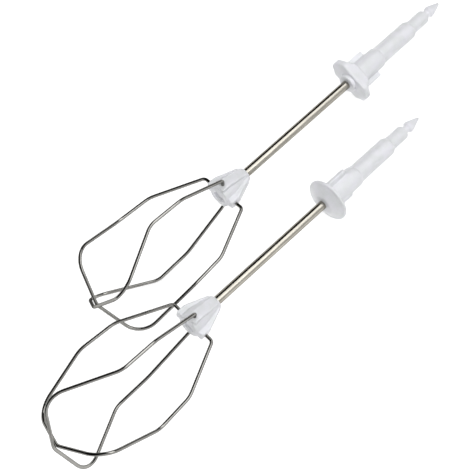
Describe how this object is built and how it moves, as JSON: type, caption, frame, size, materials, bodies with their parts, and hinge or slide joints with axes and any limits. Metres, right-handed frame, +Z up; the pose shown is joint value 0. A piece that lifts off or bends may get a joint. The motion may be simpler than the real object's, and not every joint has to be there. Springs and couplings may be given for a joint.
{
  "type": "hand mixer beater pair",
  "caption": "Pair of wire beaters for a hand mixer: white moulded drive shanks and hubs, plain steel shafts and twisted wire loop whisks, lying one against the other.",
  "frame": {"origin": "on the table, under the middle of the pair's bounding box", "axes": "+X along the shafts towards the snap tips, +Y from the plain beater towards the keyed one, +Z up from the table"},
  "size_m": [0.2606, 0.0756, 0.0521],
  "materials": {
    "white_plastic": "smooth moulded, slightly glossy",
    "shaft_steel": "drawn and polished",
    "wire_steel": "bright polished wire"
  },
  "bodies": {
    "keyed_beater": {"keyed_drive_shank": "white_plastic", "keyed_shaft": "shaft_steel", "keyed_whisk_hub": "white_plastic", "keyed_inner_loop": "wire_steel", "keyed_outer_loop": "wire_steel"},
    "plain_beater": {"plain_drive_shank": "white_plastic", "plain_shaft": "shaft_steel", "plain_whisk_hub": "white_plastic", "plain_inner_loop": "wire_steel", "plain_outer_loop": "wire_steel"}
  },
  "joints": [
    {"name": "plain_lift", "type": "slide", "parent": "keyed_beater", "child": "plain_beater", "axis": [0, 0, 1], "range_m": [0, 0.12]}
  ]
}
